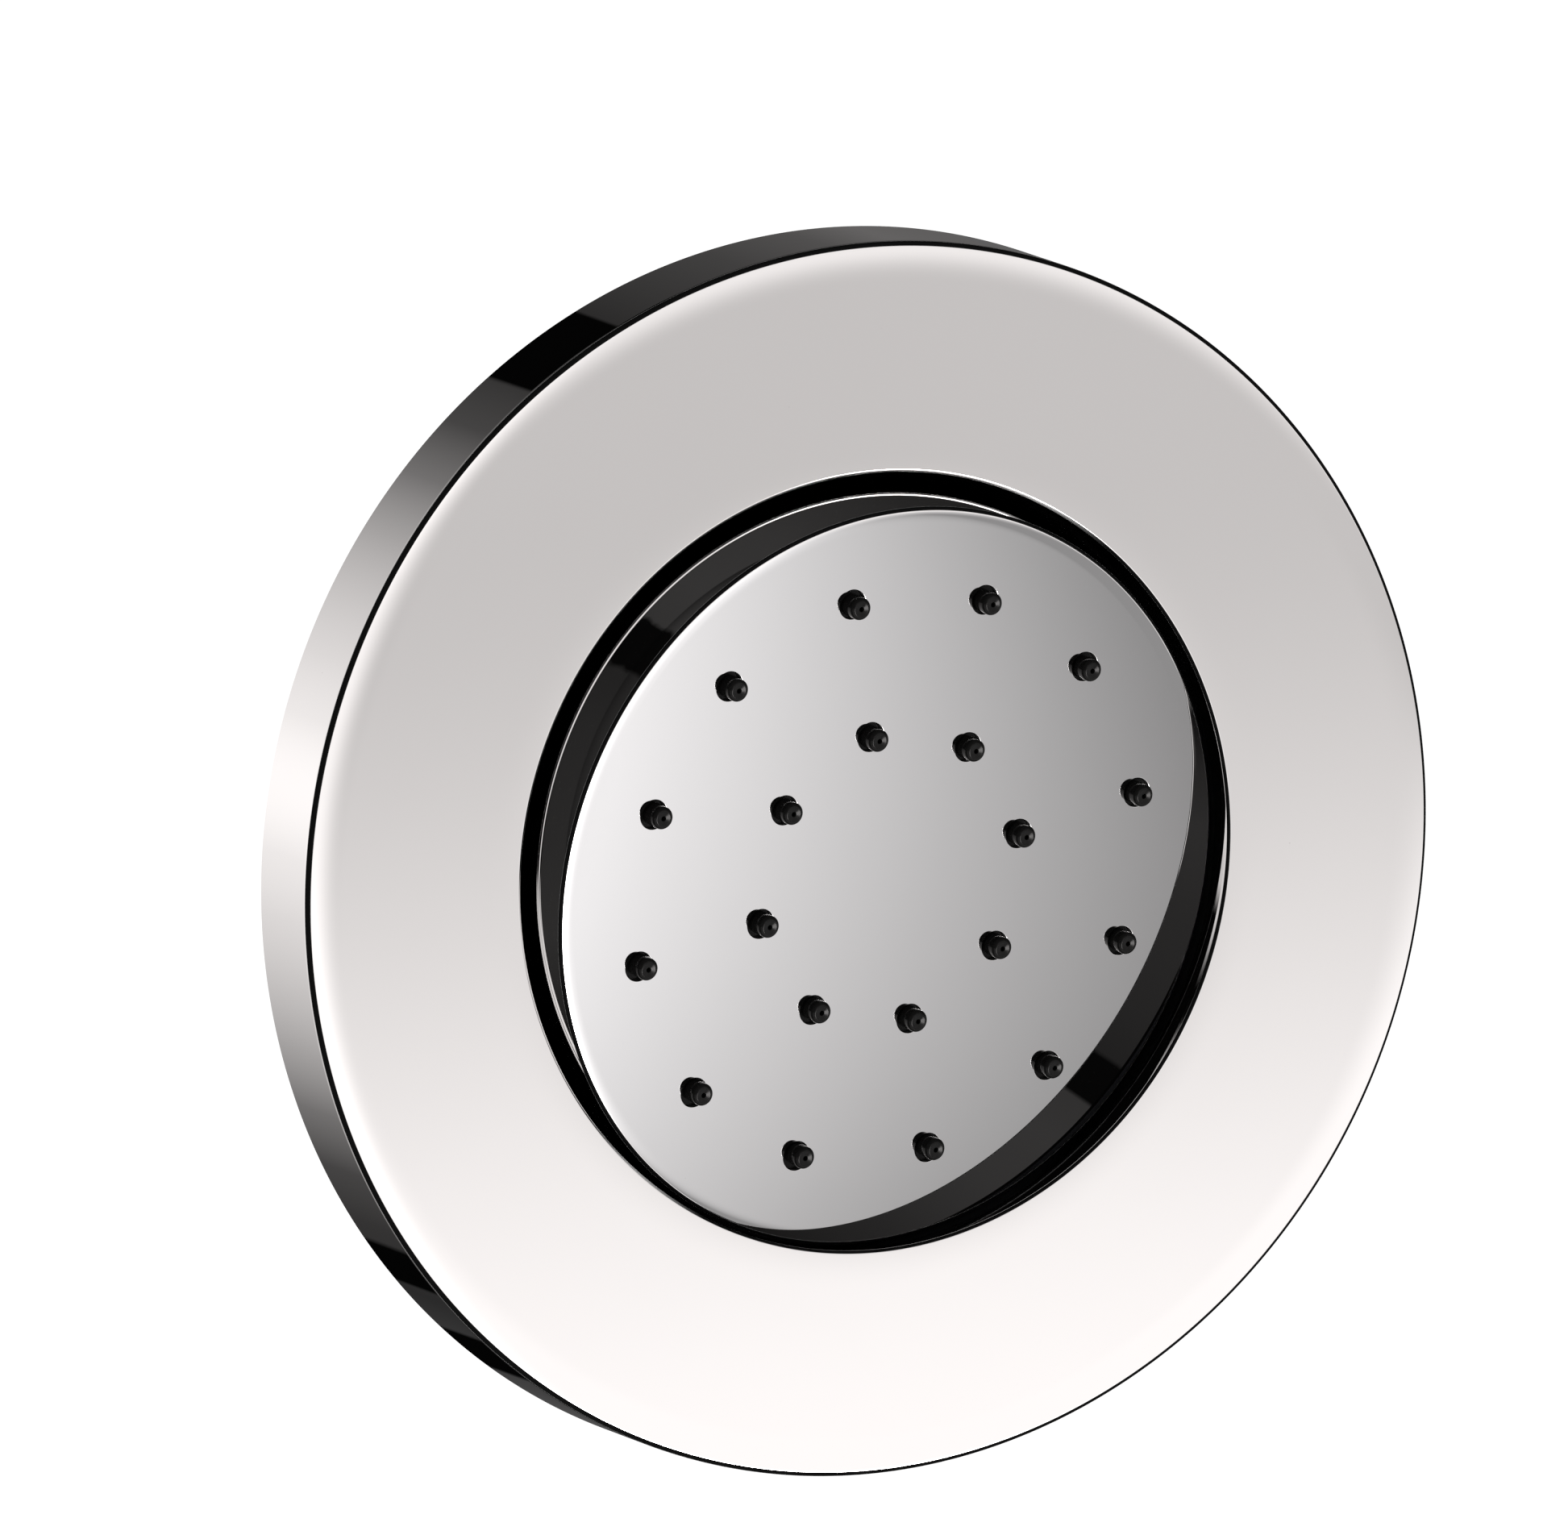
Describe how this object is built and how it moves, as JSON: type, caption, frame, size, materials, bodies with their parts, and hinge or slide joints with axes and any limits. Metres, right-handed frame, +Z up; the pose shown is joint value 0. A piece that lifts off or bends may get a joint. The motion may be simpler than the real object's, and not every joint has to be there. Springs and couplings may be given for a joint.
{
  "type": "shower body jet",
  "caption": "Round chrome wall flange with a tiltable ball-shaped spray head, flat face with soft black nozzles, in-wall box and threaded water inlet.",
  "frame": {"origin": "On the inlet axis, in the plane of the wall's finished surface.", "axes": "+Z up, +Y into the wall along the inlet axis, +X to the right as seen from the room."},
  "size_m": [0.12, 0.0761, 0.12],
  "materials": {
    "chrome": "mirror-polished chrome plating on brass",
    "stud_chrome": "plain chrome plating on brass",
    "silicone_black": "glossy black silicone",
    "rubber_black": "black EPDM rubber",
    "foam_grey": "closed-cell foam",
    "plastic_black": "moulded black plastic",
    "plastic_white": "moulded white acetal",
    "plastic_grey": "moulded grey plastic",
    "plastic_green": "moulded green acetal",
    "ptfe_white": "smooth white low-friction plastic",
    "brass": "turned brass",
    "steel": "plain stainless steel"
  },
  "bodies": {
    "wall_set": {"flange_cover": "chrome", "wall_gasket": "foam_grey", "cover_o_ring": "rubber_black", "fixing_plate": "plastic_black", "wall_box": "plastic_black", "box_screws": "steel", "inlet_body": "brass", "box_washer": "rubber_black", "lock_nut": "brass", "inlet_filter": "steel", "flow_regulator": "plastic_green", "gland_nut": "brass", "slip_washer": "ptfe_white"},
    "stud": {"ball_stud": "stud_chrome", "stud_o_rings": "rubber_black"},
    "head": {"spray_shell": "chrome", "nozzle_mat": "silicone_black", "distributor_plate": "plastic_white", "chamber_back": "plastic_grey", "chamber_o_ring": "rubber_black", "shell_ring": "brass", "front_seat": "ptfe_white", "seat_o_ring": "rubber_black", "rear_seat": "ptfe_white", "ball_nut": "brass"}
  },
  "joints": [
    {"name": "head_turn", "type": "hinge", "parent": "wall_set", "child": "stud", "pos_m": [0, 0.0059, 0], "axis": [0, -1, 0], "continuous": true},
    {"name": "head_tilt", "type": "hinge", "parent": "stud", "child": "head", "pos_m": [0, 0.0059, 0], "axis": [0.766, 0, 0.6428], "range_deg": [-20, 3.9]}
  ]
}
